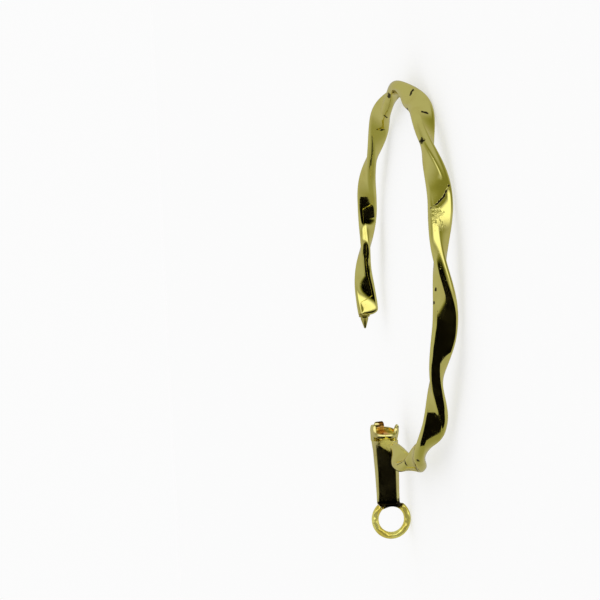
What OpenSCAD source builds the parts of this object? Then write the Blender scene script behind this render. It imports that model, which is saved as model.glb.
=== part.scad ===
// Twisted rope hoop earring: an open hoop of twisted flat band, with a pointed peg
// at its open end, and an empty claw setting, a stem and a ring at its joined end.
// It is worked out standing, X from the back limb to the front limb, Y up the hoop
// and Z across it, and is then laid on its side, so that it rests on Z = 0.
// Hoop angles are counted from the front limb up over the top, in degrees.

/* [Hoop] */
// Radius of the circle that the middle of the band follows
hoop_r = 16; // [15:0.25:18]
// Height of the hoop as a share of its depth from limb to limb
hoop_tall = 1.01; // [1:0.005:1.02]
// How far the hoop's plane is warped, like a saddle
warp = 0.08; // [0:0.01:0.12]
// Hoop angle of the open end, low on the back limb
open_angle = 192; // [186:1:196]
// Hoop angle where the band turns off into the stem, past the bottom
joined_angle = -113; // [-116:1:-110]
// How far the band swings out of its circle to meet the stem
end_drop = 0.9; // [0.6:0.05:1.1]
// How far the band swings to the right on its way to the stem
end_side = 0.22; // [0.1:0.02:0.3]
// Stretch of hoop over which it swings out and aside, degrees
drop_arc = 20; // [15:1:30]

/* [Twisted band] */
// Width of the flat band
band_w = 1.9; // [1.7:0.05:2.1]
// Thickness of the flat band
band_t = 0.96; // [0.92:0.02:1.1]
// Rounding of the band's long edges
edge_r = 0.42; // [0.3:0.02:0.45]
// Stretch of hoop in which the band makes half a turn, degrees
half_turn = 34; // [30:0.5:40]
// Hoop angle of a place where the band stands on edge
on_edge_angle = 170.5; // [166:0.5:174]
// How far the twisted band wanders sideways
side_wander = 0.17; // [0:0.01:0.2]
// How far the sideways wander lags behind the twist, degrees
wander_lag = 55; // [0:5:90]
// How far the twisted band wanders in and out
depth_wander = 0.13; // [0:0.01:0.2]
// Extra width at the open end, where the band is flattened out
flare_w = 0.25; // [0:0.05:0.4]
// Stretch of hoop over which the open end flares, degrees
flare_arc = 20; // [10:1:30]
// Length over which the open end is rounded to a tongue
end_round = 0.55; // [0.4:0.05:0.6]
// How much the tongue narrows on each side
tongue_w = 0.48; // [0.4:0.02:0.5]
// How much the tongue thins on each side
tongue_t = 0.14; // [0.08:0.02:0.2]

/* [End peg] */
// Radius of the domed collar round the peg's root
collar_r = 0.56; // [0.5:0.02:0.62]
// Height of the collar
collar_h = 0.22; // [0.18:0.02:0.3]
// Radius of the peg above the collar
peg_r = 0.38; // [0.32:0.02:0.42]
// Length of the peg, from the band's end to its point
peg_len = 1.4; // [1.2:0.1:2]
// Radius of the peg's blunt point
peg_tip_r = 0.12; // [0.08:0.02:0.16]
// How far the peg stands from the middle of the band, along the band's width
peg_shift = 0.5; // [0.3:0.02:0.54]

/* [Claw setting] */
// Height of the rim's middle above the joined end of the band
rim_up = 1.42; // [1.35:0.02:1.5]
// Outer radius of the rim that the claws hold
rim_r = 1.22; // [1.15:0.01:1.26]
// Width of the rim's wall
rim_wall = 0.2; // [0.16:0.02:0.26]
// Height of the rim
rim_h = 0.42; // [0.36:0.02:0.48]
// Depth of the seat for the stone inside the rim
seat_depth = 0.32; // [0.24:0.02:0.32]
// Radius of the core below the seat
core_r = 0.72; // [0.6:0.02:0.8]
// Outer radius of the cup's base
base_r = 0.94; // [0.86:0.01:0.94]
// Height of the open gallery between the base and the rim
gallery_h = 0.36; // [0.3:0.02:0.42]
// How far the cup's middle stands behind the stem's middle
cup_back = 0.1; // [0.1:0.02:0.2]
// Lean of the cup towards the front
cup_lean = 15; // [10:1:20]
// Thickness of a claw
claw_d = 0.34; // [0.3:0.02:0.4]
// Thickness of the bars that cross the gallery between the claws
bar_d = 0.2; // [0.16:0.02:0.24]

/* [Stem and ring] */
// Depth of the stem from front to back at its top
stem_d = 1.36; // [1.2:0.02:1.5]
// Rounding of the stem's long edges
stem_edge_r = 0.42; // [0.3:0.02:0.5]
// Height of the joined end of the band above the ring's middle
ring_down = 6.67; // [6.6:0.01:6.8]
// Radius of the circle that the ring's wire follows
ring_mid_r = 1.52; // [1.5:0.01:1.53]
// Thickness of the ring's wire
ring_wire = 0.68; // [0.66:0.02:0.74]
// Radius of the straight hole through the ring
ring_hole_r = 1.21; // [1.2:0.01:1.22]
// How far the ring's middle stands to the right of the stem's top
ring_side = 0.42; // [0.3:0.01:0.45]
// Part of the ring that the stem's foot takes the place of, degrees
foot_arc = 80; // [60:2:84]
// Gap left at a seam between two pieces
seam = 0.02; // [0.01:0.01:0.04]

/* [Hidden] */

GOLD = "#c0ac52";
PALE_GOLD = "#d2bd62";

// Turns that lay the standing hoop down on the ring and two bulges of the band
LIE_X = -1.212;
LIE_Y = 0.702;

// Sides of a full circle on round pieces, on wires and pegs, and on the thin bars
ROUND_SIDES = 96;
WIRE_SIDES = 48;
BAR_SIDES = 24;
// Hoop angle between two sections of the band, and the steps of the edge roundings
SECTION_STEP = 2;
BAND_EDGE_STEPS = 3;
STEM_EDGE_STEPS = 4;
// Share of the tongue's rounding at which its blunt end face is cut
BLUNT = 0.95;
// Sections over the tongue's rounding, and how far they crowd towards its end
ROUND_STEPS = 5;
ROUND_CROWDING = 1.6;
// How far the joined end runs straight on to its seat
SEAT_RUN = 0.06;

// Sections down the stem: mm below the joined end of the band, mm to the left of the
// hoop's plane, width and depth
DOWN = 0;
SIDE = 1;
WIDTH = 2;
DEPTH = 3;
STEM = [
    [-0.70, 0.19, 2.50, 1.36],
    [ 0.20, 0.12, 2.38, 1.36],
    [ 2.20, 0.05, 2.26, 1.26],
    [ 4.10, 0.02, 2.14, 1.10],
    [ 5.05, 0.00, 2.14, 0.96]
];

// The claws round the rim: angle from the front towards the right, width, reach above
// the rim, distance of the root from the cup's axis, and lean outwards in degrees
ANGLE = 0;
CLAW_W = 1;
REACH = 2;
ROOT_R = 3;
LEAN = 4;
CLAWS = [
    [ -72, 0.70, 0.64, 1.06,  1],
    [  58, 0.60, 0.44, 0.98, 16],
    [ 106, 0.40, 0.44, 0.98, 15],
    [-168, 0.78, 0.46, 0.98, 15]
];
// Outline of a claw, from the inside of its root round its tip: share of half its
// thickness outwards, and share of its height
OUTWARDS = 0;
UP = 1;
CLAW_OUTLINE = [
    [-1.00, 0.00],
    [ 0.00, 0.00],
    [ 1.00, 0.20],
    [ 1.00, 0.70],
    [ 0.67, 0.92],
    [ 0.00, 1.00],
    [-0.67, 0.96],
    [-1.00, 0.80]
];
// Height of the cup's base, and of the floor of the gallery below the rim's middle
BASE_H = 0.35;
GALLERY_Z = -rim_h / 2 - gallery_h;
// Angles at which the gallery's bars meet the base, and how far they spread at the rim
BARS = [82, 150, -118];
BAR_SPREAD = 20;

ACROSS = [0, 0, 1];
function out_dir(a) = [cos(a), sin(a), 0];
function forward_dir(a) = [sin(a), -cos(a), 0];
function turn_at(a) = 180 * (a - on_edge_angle) / half_turn;
function width_dir(a) = out_dir(a) * cos(turn_at(a)) + ACROSS * sin(turn_at(a));
function flare_at(a) = flare_w * min(1, max(0, a - open_angle + flare_arc) / flare_arc);
// Share of the swing towards the stem, from 0 where it starts to 1 at the joined end
function swing_at(a) = pow(max(0, joined_angle + drop_arc - a) / drop_arc, 2);
// Share of the tongue's narrowing, from 0 where it starts to 1 at the open end
function tongue_at(a) =
    let (near = max(0, 1 - (open_angle - a) * PI * hoop_r / (180 * end_round)))
    (1 - sqrt(1 - pow(BLUNT * near, 2))) / (1 - sqrt(1 - pow(BLUNT, 2)));
function middle_at(a) =
    let (r = hoop_r + end_drop * swing_at(a) - depth_wander * cos(2 * turn_at(a)),
         side = side_wander * cos(2 * turn_at(a) - wander_lag) + warp * cos(2 * a)
             - end_side * swing_at(a))
    [r * cos(a), hoop_tall * r * sin(a), side] + width_dir(a) * peg_shift * tongue_at(a);

// Points of a rounded rectangle, w along the first direction and t along the second
function rounded(w, t, r, steps) = [
    for (corner = [[1, 1, 0], [-1, 1, 90], [-1, -1, 180], [1, -1, 270]], i = [0 : steps])
        [corner.x * (w / 2 - r) + r * cos(corner.z + 90 * i / steps),
         corner.y * (t / 2 - r) + r * sin(corner.z + 90 * i / steps)]
];
function section_at(a) =
    let (w = band_w + flare_at(a) - 2 * tongue_w * tongue_at(a),
         t = band_t - 2 * tongue_t * tongue_at(a),
         t_dir = cross(forward_dir(a), width_dir(a)))
    [for (p = rounded(w, t, edge_r * t / band_t, BAND_EDGE_STEPS))
        middle_at(a) + width_dir(a) * p.x + t_dir * p.y];

// Angles of the sections, closer together where the open end is rounded
ROUND_ARC = end_round * 180 / (PI * hoop_r);
FIRST_FULL = open_angle - ROUND_ARC;
SPANS = ceil((FIRST_FULL - joined_angle) / SECTION_STEP);
ANGLES = concat(
    [for (i = [0 : ROUND_STEPS - 1])
        open_angle - ROUND_ARC * pow(i / ROUND_STEPS, ROUND_CROWDING)],
    [for (i = [0 : SPANS]) FIRST_FULL + (joined_angle - FIRST_FULL) * i / SPANS]
);

// The joined end, and the flat seat on the front of the stem that it meets
JOINT = middle_at(joined_angle);
SEAT_X = min([for (p = section_at(joined_angle)) p.x]) - SEAT_RUN;
STEM_X = SEAT_X - seam - stem_d / 2;
RING_AT = [STEM_X, JOINT.y - ring_down, STEM[0][SIDE] - ring_side];
CUP_AT = [STEM_X - cup_back, JOINT.y + rim_up, STEM[0][SIDE]];

// The last section carried on to the seat
function on_seat(p, d) = p + d * (SEAT_X - p.x) / d.x;
SEAT_SECTION = [for (p = section_at(joined_angle)) on_seat(p, forward_dir(joined_angle))];
BAND_RINGS = concat([for (a = ANGLES) section_at(a)], [SEAT_SECTION]);

// Laying the hoop down
function laid(p) =
    let (y = p.y * cos(LIE_X) - p.z * sin(LIE_X),
         z = p.y * sin(LIE_X) + p.z * cos(LIE_X))
    [p.x * cos(LIE_Y) + z * sin(LIE_Y), y, z * cos(LIE_Y) - p.x * sin(LIE_Y)];
LAID_BAND = [for (ring = BAND_RINGS, p = ring) laid(p)];
// How far the ring reaches from its middle along a direction of the laid hoop
function ring_reach(d) =
    let (axis = laid([1, 0, 0]))
    ring_mid_r * norm(d - axis * (d * axis)) + ring_wire / 2;
BOX_X = [min([for (p = LAID_BAND) p.x]), max([for (p = LAID_BAND) p.x])];
BOX_Y = [laid(RING_AT).y - ring_reach([0, 1, 0]), max([for (p = LAID_BAND) p.y])];
FLOOR_Z = min(min([for (p = LAID_BAND) p.z]), laid(RING_AT).z - ring_reach([0, 0, 1]));
LAY_AT = [-(BOX_X[0] + BOX_X[1]) / 2, -(BOX_Y[0] + BOX_Y[1]) / 2, -FLOOR_Z];

module lay_down() {
    translate(LAY_AT) rotate([LIE_X, LIE_Y, 0]) children();
}

// A closed skin over rings of points, every ring with the same number of points
module skin(rings) {
    n = len(rings[0]);
    last = len(rings) - 1;
    polyhedron(
        points = [for (ring = rings, p = ring) p],
        faces = concat(
            [[for (j = [0 : n - 1]) j]],
            [for (i = [0 : last - 1], j = [0 : n - 1], half = [0, 1])
                let (a = i * n + j, b = i * n + (j + 1) % n, c = a + n, d = b + n)
                half == 0 ? [a, c, b] : [b, c, d]],
            [[for (j = [n - 1 : -1 : 0]) last * n + j]]
        )
    );
}

module twisted_band() {
    color(GOLD) lay_down() skin(BAND_RINGS);
}

// The peg's outline from its axis out: domed collar, straight root, cone, blunt point
PEG_ROOT_H = 2 * collar_h;
COLLAR_BEND = collar_h / 2;
COLLAR_STEPS = 5;
TIP_STEPS = 3;
PEG_OUTLINE = concat(
    [[0, 0], [collar_r - COLLAR_BEND, 0]],
    [for (i = [1 : COLLAR_STEPS]) let (a = 180 * i / COLLAR_STEPS)
        [collar_r - COLLAR_BEND * (1 - sin(a)), COLLAR_BEND * (1 - cos(a))]],
    [[peg_r, collar_h], [peg_r, PEG_ROOT_H]],
    [for (i = [0 : TIP_STEPS]) let (a = 90 * i / TIP_STEPS)
        [peg_tip_r * cos(a), peg_len - peg_tip_r * (1 - sin(a))]]
);

module end_peg() {
    color(GOLD) lay_down()
        translate(middle_at(open_angle) - forward_dir(open_angle) * seam)
            rotate([90, 0, open_angle - 180]) rotate_extrude($fn = WIRE_SIDES)
                polygon(PEG_OUTLINE);
}

module stem() {
    skin([for (row = STEM)
        [for (p = rounded(row[WIDTH], row[DEPTH], stem_edge_r, STEM_EDGE_STEPS))
            [STEM_X - p.y, JOINT.y - row[DOWN], row[SIDE] + p.x]]]);
}

// The foot is drawn in the ring's plane, seen from the front: x to the left, y up
STEM_END = STEM[len(STEM) - 1];
FOOT_TOP = ring_down - STEM_END[DOWN];
FOOT_SIDE = STEM_END[SIDE] - RING_AT.z;
FLANK_STEPS = 6;
// A point on the hollow curve from the stem's left or right side to the ring's outside
function flank(u, s) =
    let (from = [FOOT_SIDE + s * STEM_END[WIDTH] / 2, FOOT_TOP],
         to = (ring_mid_r + ring_wire / 2) * [s * sin(foot_arc / 2), cos(foot_arc / 2)],
         bend = [from.x, to.y])
    from * pow(1 - u, 2) + bend * 2 * u * (1 - u) + to * pow(u, 2);

// The foot takes the place of the top of the ring and runs up into the stem
module foot() {
    translate(RING_AT) rotate([0, -90, 0])
        difference() {
            linear_extrude(height = ring_wire, center = true)
                polygon(concat(
                    [for (i = [0 : FLANK_STEPS]) flank(i / FLANK_STEPS, -1)],
                    [[0, 0]],
                    [for (i = [FLANK_STEPS : -1 : 0]) flank(i / FLANK_STEPS, 1)]
                ));
            cylinder(r = ring_hole_r, h = 2 * ring_wire, center = true, $fn = ROUND_SIDES);
        }
}

// A flat claw that stands on z = 0, w wide and h high
module claw(w, h) {
    rotate([90, 0, 0]) linear_extrude(height = w, center = true)
        polygon([for (row = CLAW_OUTLINE) [row[OUTWARDS] * claw_d / 2, row[UP] * h]]);
}

// A bar of the gallery, from an angle on the base to an angle under the rim
function on_circle(r, a, z) = [r * cos(a), r * sin(a), z];
module bar(base_angle, rim_angle) {
    from = on_circle(base_r - bar_d / 2, base_angle, GALLERY_Z - bar_d / 2);
    to = on_circle(rim_r - bar_d / 2, rim_angle, -rim_h / 2 + bar_d / 2);
    way = to - from;
    translate(from) rotate([0, acos(way.z / norm(way)), atan2(way.y, way.x)])
        cylinder(d = bar_d, h = norm(way), $fn = BAR_SIDES);
}

// The cup, drawn on its own axis with z = 0 at the middle of the rim
module cup() {
    difference() {
        cylinder(r = rim_r, h = rim_h, center = true, $fn = ROUND_SIDES);
        translate([0, 0, rim_h / 2 - seat_depth])
            cylinder(r = rim_r - rim_wall, h = rim_h, $fn = ROUND_SIDES);
    }
    // The core runs from the base up into the floor of the seat
    translate([0, 0, GALLERY_Z - BASE_H / 2])
        cylinder(
            r = core_r, h = BASE_H / 2 + gallery_h + (rim_h - seat_depth) / 2,
            $fn = ROUND_SIDES
        );
    translate([0, 0, GALLERY_Z - BASE_H])
        cylinder(r = base_r, h = BASE_H, $fn = ROUND_SIDES);
    for (row = CLAWS)
        rotate([0, 0, row[ANGLE]])
            translate([row[ROOT_R], 0, GALLERY_Z - claw_d]) rotate([0, row[LEAN], 0])
                claw(row[CLAW_W], claw_d + gallery_h + rim_h + row[REACH]);
    for (a = BARS, s = [-1, 1])
        bar(a, a + s * BAR_SPREAD);
}

module claw_setting() {
    color(GOLD) lay_down() {
        stem();
        foot();
        translate(CUP_AT) rotate([0, 0, -cup_lean]) rotate([-90, 0, 0]) cup();
    }
}

// The ring is open where the foot takes its place: a wedge, lowered so that it leaves
// a seam on each side of the foot, is cut out of it
WEDGE_R = 2 * ring_mid_r;
SEAM_DROP = seam / sin(foot_arc / 2);
module charm_ring() {
    color(PALE_GOLD) lay_down()
        translate(RING_AT) rotate([0, -90, 0])
            difference() {
                rotate_extrude($fn = ROUND_SIDES)
                    translate([ring_mid_r, 0]) circle(d = ring_wire, $fn = WIRE_SIDES);
                cylinder(r = ring_hole_r, h = 2 * ring_wire, center = true, $fn = ROUND_SIDES);
                translate([0, -SEAM_DROP, 0])
                    linear_extrude(height = 2 * ring_wire, center = true)
                        polygon([
                            [0, 0],
                            WEDGE_R * [sin(foot_arc / 2), cos(foot_arc / 2)],
                            WEDGE_R * [-sin(foot_arc / 2), cos(foot_arc / 2)]
                        ]);
            }
}

twisted_band();
end_peg();
claw_setting();
charm_ring();
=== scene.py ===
"""A twisted hoop earring in yellow gold, dressed over its CAD frame and laid on a pale studio floor."""

import logging
import math
from collections.abc import Callable, Mapping, Sequence
from dataclasses import dataclass
from enum import Enum
from functools import reduce

import bmesh
import bpy
from mathutils import Matrix, Vector


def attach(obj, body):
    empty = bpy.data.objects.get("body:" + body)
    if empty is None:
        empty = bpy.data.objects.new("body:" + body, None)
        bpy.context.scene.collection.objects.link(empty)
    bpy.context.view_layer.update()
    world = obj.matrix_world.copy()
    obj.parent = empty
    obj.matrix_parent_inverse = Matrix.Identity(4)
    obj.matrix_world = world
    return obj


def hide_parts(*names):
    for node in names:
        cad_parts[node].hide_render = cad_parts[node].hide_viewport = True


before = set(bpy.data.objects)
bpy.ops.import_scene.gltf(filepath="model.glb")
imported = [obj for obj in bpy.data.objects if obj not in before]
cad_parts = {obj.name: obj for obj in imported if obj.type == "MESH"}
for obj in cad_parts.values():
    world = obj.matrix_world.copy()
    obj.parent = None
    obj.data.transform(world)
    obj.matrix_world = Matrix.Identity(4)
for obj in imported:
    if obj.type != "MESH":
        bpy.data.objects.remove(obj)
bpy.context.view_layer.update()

LOG = logging.getLogger("hoop_earring")
MM = 0.001
BODY = "root"
# The least share of a face's normal, and of an edge's length, that counts as along an axis.
LOOKS_ALONG = 0.9
RUNS_ALONG = 0.8
# Corners that are closer than this, in mm, count as one.
SAME_PLACE = 0.0005
# The middle of a noise texture's values.
NOISE_MIDDLE = 0.5

Span = tuple[float, float]
Triple = tuple[float, float, float]
Piece = bpy.types.Object
Socket = bpy.types.NodeSocket
Element = bmesh.types.BMVert | bmesh.types.BMEdge | bmesh.types.BMFace


class SlotName(Enum):
    """The record's material slots."""

    BAND = "gold_band"
    PEG = "gold_peg"
    SETTING = "gold_setting"
    RING = "polished_ring"


class NodeName(Enum):
    """The CAD nodes that the pieces stand for."""

    BAND = "twisted_band"
    PEG = "end_peg"
    SETTING = "claw_setting"
    RING = "charm_ring"


class Part(Enum):
    """What is picked on an open mesh, by the name of its mode and of its list."""

    VERT = "verts"
    EDGE = "edges"
    FACE = "faces"


@dataclass(frozen=True)
class LyingPose:
    """How the hoop, worked out standing and in mm, lies on the floor of the frame.

    Standing, X runs from the back limb to the front limb, Y up the hoop and Z across it.
    """

    turn_x: float = -1.212
    turn_y: float = 0.702
    at: Triple = (0.0132183, 3.67864, 1.52105)

    def turned(self) -> Matrix:
        """Return the turn alone, as a 4 by 4 matrix."""
        about_y = Matrix.Rotation(math.radians(self.turn_y), 4, "Y")
        return about_y @ Matrix.Rotation(math.radians(self.turn_x), 4, "X")

    def matrix(self) -> Matrix:
        """Return the map from standing mm to the frame's metres."""
        return Matrix.Scale(MM, 4) @ Matrix.Translation(self.at) @ self.turned()


POSE = LyingPose()


@dataclass(frozen=True)
class Row:
    """One section of a piece that is drawn out along Z: its height, middle and size in mm."""

    at: float
    x: float
    y: float
    wide: float
    deep: float


class Bench:
    """The hand moves that the pieces share: adding a blank, picking its parts, shaping it."""

    @staticmethod
    def clear() -> None:
        """Leave edit mode and deselect every object."""
        active = bpy.context.view_layer.objects.active
        if active is not None and active.mode != "OBJECT":
            bpy.ops.object.mode_set(mode="OBJECT")
        bpy.ops.object.select_all(action="DESELECT")

    @staticmethod
    def take(piece: Piece) -> None:
        """Select one object alone and make it active.

        Args:
            piece: The object to take up.
        """
        Bench.clear()
        piece.select_set(True)
        bpy.context.view_layer.objects.active = piece

    @staticmethod
    def edit(piece: Piece) -> None:
        """Open a piece in edit mode with nothing selected.

        Args:
            piece: The mesh object to open.
        """
        Bench.take(piece)
        bpy.ops.object.mode_set(mode="EDIT")
        bpy.ops.mesh.select_mode(type="FACE")
        bpy.ops.mesh.select_all(action="DESELECT")

    @staticmethod
    def pick(piece: Piece, part: Part, test: Callable[[Element], bool]) -> None:
        """Select the corners, edges or faces that pass a test, and nothing else.

        Args:
            piece: The object that is open in edit mode.
            part: Which of them are picked.
            test: Says whether one of them is wanted.
        """
        bpy.ops.mesh.select_mode(type=part.name)
        bpy.ops.mesh.select_all(action="DESELECT")
        mesh = bmesh.from_edit_mesh(piece.data)
        for item in getattr(mesh, part.value):
            if test(item):
                item.select_set(True)
        bmesh.update_edit_mesh(piece.data)

    @staticmethod
    def blank(name: str) -> Piece:
        """Name the primitive that was just added, and put its place and size into its mesh.

        Args:
            name: The object's name.

        Returns:
            The primitive.
        """
        piece = bpy.context.object
        piece.name = name
        bpy.ops.object.transform_apply(location=True, rotation=True, scale=True)
        return piece

    @staticmethod
    def block(name: str, low: Triple, high: Triple) -> Piece:
        """Add a cube between two corners.

        Args:
            name: The object's name.
            low: Its lowest corner.
            high: Its highest corner.

        Returns:
            The new object, with its size and place in its mesh.
        """
        Bench.clear()
        middle = [(a + b) / 2 for a, b in zip(low, high)]
        size = [b - a for a, b in zip(low, high)]
        bpy.ops.mesh.primitive_cube_add(size=1.0, location=middle, scale=size)
        return Bench.blank(name)

    @staticmethod
    def turned(name: str, outline: Sequence[Span], sides: int) -> Piece:
        """Turn a piece about Z: a disc is drawn out through the rows of its outline.

        Args:
            name: The object's name.
            outline: Radius and height of each row.
            sides: Sides of the round.

        Returns:
            The new closed piece.
        """
        Bench.clear()
        radius, height = outline[0]
        bpy.ops.mesh.primitive_circle_add(
            vertices=sides, radius=radius, fill_type="NGON", location=(0.0, 0.0, height))
        piece = Bench.blank(name)
        Bench.edit(piece)
        bpy.ops.mesh.select_all(action="SELECT")
        for next_radius, next_height in outline[1:]:
            Bench.extrude((0.0, 0.0, next_height - height))
            share = next_radius / radius
            bpy.ops.transform.resize(
                value=(share, share, 1.0), center_override=(0.0, 0.0, next_height))
            radius, height = next_radius, next_height
        Bench.close(piece)
        return piece

    @staticmethod
    def drawn(
        name: str, rows: Sequence[Row], edge_r: float, steps: int, profile: float = 0.5
    ) -> Piece:
        """Draw a rounded block out along Z through a list of rows.

        Args:
            name: The object's name.
            rows: The rows in order of their height.
            edge_r: Rounding of the long edges, at the first two rows.
            steps: Segments of that rounding.
            profile: Its fullness, 0.5 for a round and 0.25 for a flat chamfer.

        Returns:
            The new closed piece.
        """
        first, second = rows[0], rows[1]
        low = (first.x - first.wide / 2, first.y - first.deep / 2, first.at)
        high = (first.x + first.wide / 2, first.y + first.deep / 2, second.at)
        piece = Bench.block(name, low, high)
        Bench.edit(piece)
        Bench.pick(piece, Part.FACE, lambda face: face.normal.z > LOOKS_ALONG)
        Bench.reshape(first, second)
        Bench.pick(piece, Part.EDGE, lambda edge: Bench.runs_along(edge, 2))
        bpy.ops.mesh.bevel(
            offset=edge_r, segments=steps, profile=profile, affect="EDGES", clamp_overlap=True)
        Bench.pick(piece, Part.FACE, lambda face: face.normal.z > LOOKS_ALONG)
        for row, after in zip(rows[1:], rows[2:]):
            Bench.extrude((0.0, 0.0, after.at - row.at))
            Bench.reshape(row, after)
        Bench.close(piece)
        return piece

    @staticmethod
    def extrude(move: Triple) -> None:
        """Draw the selected faces out by a move."""
        bpy.ops.mesh.extrude_region_move(TRANSFORM_OT_translate={"value": move})

    @staticmethod
    def reshape(row: Row, after: Row) -> None:
        """Shift and resize the selected end face from one row's section to the next one's.

        Args:
            row: The row whose shape the end face has.
            after: The row whose shape it gets.
        """
        bpy.ops.transform.translate(value=(after.x - row.x, after.y - row.y, 0.0))
        bpy.ops.transform.resize(
            value=(after.wide / row.wide, after.deep / row.deep, 1.0),
            center_override=(after.x, after.y, after.at))

    @staticmethod
    def pull(move: Triple, reach: float) -> None:
        """Move the selected corners, and those within reach of them less and less."""
        bpy.ops.transform.translate(
            value=move, use_proportional_edit=True, use_proportional_connected=True,
            proportional_edit_falloff="SMOOTH", proportional_size=reach)

    @staticmethod
    def runs_along(edge: bmesh.types.BMEdge, axis: int) -> bool:
        """Say whether an edge runs mostly along axis 0, 1 or 2."""
        way = edge.verts[1].co - edge.verts[0].co
        return abs(way[axis]) > RUNS_ALONG * way.length

    @staticmethod
    def close(piece: Piece) -> None:
        """Merge doubles, turn all faces outwards and leave edit mode.

        Args:
            piece: The object that is open in edit mode.
        """
        bpy.ops.mesh.select_all(action="SELECT")
        bpy.ops.mesh.remove_doubles(threshold=SAME_PLACE)
        bpy.ops.mesh.normals_make_consistent(inside=False)
        bpy.ops.object.mode_set(mode="OBJECT")

    @staticmethod
    def apply(piece: Piece, kind: str, **settings: object) -> None:
        """Add a modifier, set it and apply it.

        Args:
            piece: The mesh object.
            kind: The modifier's type.
            **settings: The modifier's properties.
        """
        Bench.take(piece)
        modifier = piece.modifiers.new(kind.lower(), kind)
        for key, value in settings.items():
            setattr(modifier, key, value)
        bpy.ops.object.modifier_apply(modifier=modifier.name)

    @staticmethod
    def place(piece: Piece, matrix: Matrix) -> None:
        """Move a piece by a matrix and put the move into its mesh.

        Args:
            piece: The object, which sits at the origin.
            matrix: The move.
        """
        Bench.take(piece)
        piece.matrix_world = matrix
        bpy.ops.object.transform_apply(location=True, rotation=True, scale=True)

    @staticmethod
    def join(name: str, pieces: Sequence[Piece]) -> Piece:
        """Join several pieces into one object.

        Args:
            name: The joined object's name.
            pieces: The pieces, the first of which stays.

        Returns:
            The joined object.
        """
        Bench.take(pieces[0])
        for piece in pieces[1:]:
            piece.select_set(True)
        bpy.ops.object.join()
        pieces[0].name = name
        return pieces[0]

    @staticmethod
    def smooth(piece: Piece, angle: float) -> None:
        """Shade a piece smooth, except across edges sharper than an angle in degrees."""
        Bench.take(piece)
        bpy.ops.object.shade_smooth_by_angle(angle=math.radians(angle))


def hand_over(piece: Piece, finish: bpy.types.Material, node: NodeName) -> None:
    """Lay a finished piece down in the frame, dress it and let it stand for its CAD node.

    Args:
        piece: The piece, in standing mm.
        finish: Its material.
        node: The CAD node that it stands for.
    """
    Bench.place(piece, POSE.matrix())
    piece.data.materials.clear()
    piece.data.materials.append(finish)
    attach(piece, BODY)
    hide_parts(node.value)
    LOG.info("%s: %d faces, stands for %s", piece.name, len(piece.data.polygons), node.value)


@dataclass(frozen=True)
class HoopRoute:
    """The line that the middle of the band follows, standing, in mm.

    Hoop angles count from the front limb up over the top, in degrees.
    """

    hoop_r: float = 16.0
    hoop_tall: float = 1.01
    warp: float = 0.08
    open_angle: float = 192.0
    joined_angle: float = -113.0
    end_drop: float = 0.9
    end_side: float = 0.22
    drop_arc: float = 20.0
    half_turn: float = 34.0
    on_edge_angle: float = 170.5
    side_wander: float = 0.17
    wander_lag: float = 55.0
    depth_wander: float = 0.13
    measure_step: float = 1.0

    def turn_at(self, angle: float) -> float:
        """Return how far the band is turned about its run at a hoop angle, in degrees."""
        return 180.0 * (angle - self.on_edge_angle) / self.half_turn

    def middle_at(self, angle: float) -> Vector:
        """Find the middle of the band, which wanders with the twist and drops at the joined end.

        Args:
            angle: The hoop angle.

        Returns:
            The point on the route.
        """
        swing = (max(0.0, self.joined_angle + self.drop_arc - angle) / self.drop_arc) ** 2
        twice = math.radians(2 * self.turn_at(angle))
        radius = self.hoop_r + self.end_drop * swing - self.depth_wander * math.cos(twice)
        side = self.side_wander * math.cos(twice - math.radians(self.wander_lag))
        side += self.warp * math.cos(math.radians(2 * angle)) - self.end_side * swing
        turned = math.radians(angle)
        return Vector((radius * math.cos(turned), self.hoop_tall * radius * math.sin(turned), side))

    def forward_at(self, angle: float) -> Vector:
        """Return the direction in which the band runs on towards the stem at a hoop angle."""
        turned = math.radians(angle)
        return Vector((math.sin(turned), -math.cos(turned), 0.0))

    def width_at(self, angle: float) -> Vector:
        """Find the direction across the band's flat.

        Args:
            angle: The hoop angle.

        Returns:
            The direction, of length 1.
        """
        turned = math.radians(angle)
        twist = math.radians(self.turn_at(angle))
        return Vector((math.cos(twist) * math.cos(turned), math.cos(twist) * math.sin(turned),
                       math.sin(twist)))

    def arc(self, degrees: float) -> float:
        """Return the length of a stretch of hoop."""
        return math.radians(degrees) * self.hoop_r

    def angles(self, step: float) -> list[float]:
        """Step along the hoop from the open end to the joined end.

        Args:
            step: The wish for the step, in degrees, which is rounded to fit.

        Returns:
            The hoop angles.
        """
        count = round((self.open_angle - self.joined_angle) / step)
        span = self.joined_angle - self.open_angle
        return [self.open_angle + span * i / count for i in range(count + 1)]

    def length(self) -> float:
        """Return the length of the whole route."""
        points = [self.middle_at(angle) for angle in self.angles(self.measure_step)]
        return sum((b - a).length for a, b in zip(points, points[1:]))


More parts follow.
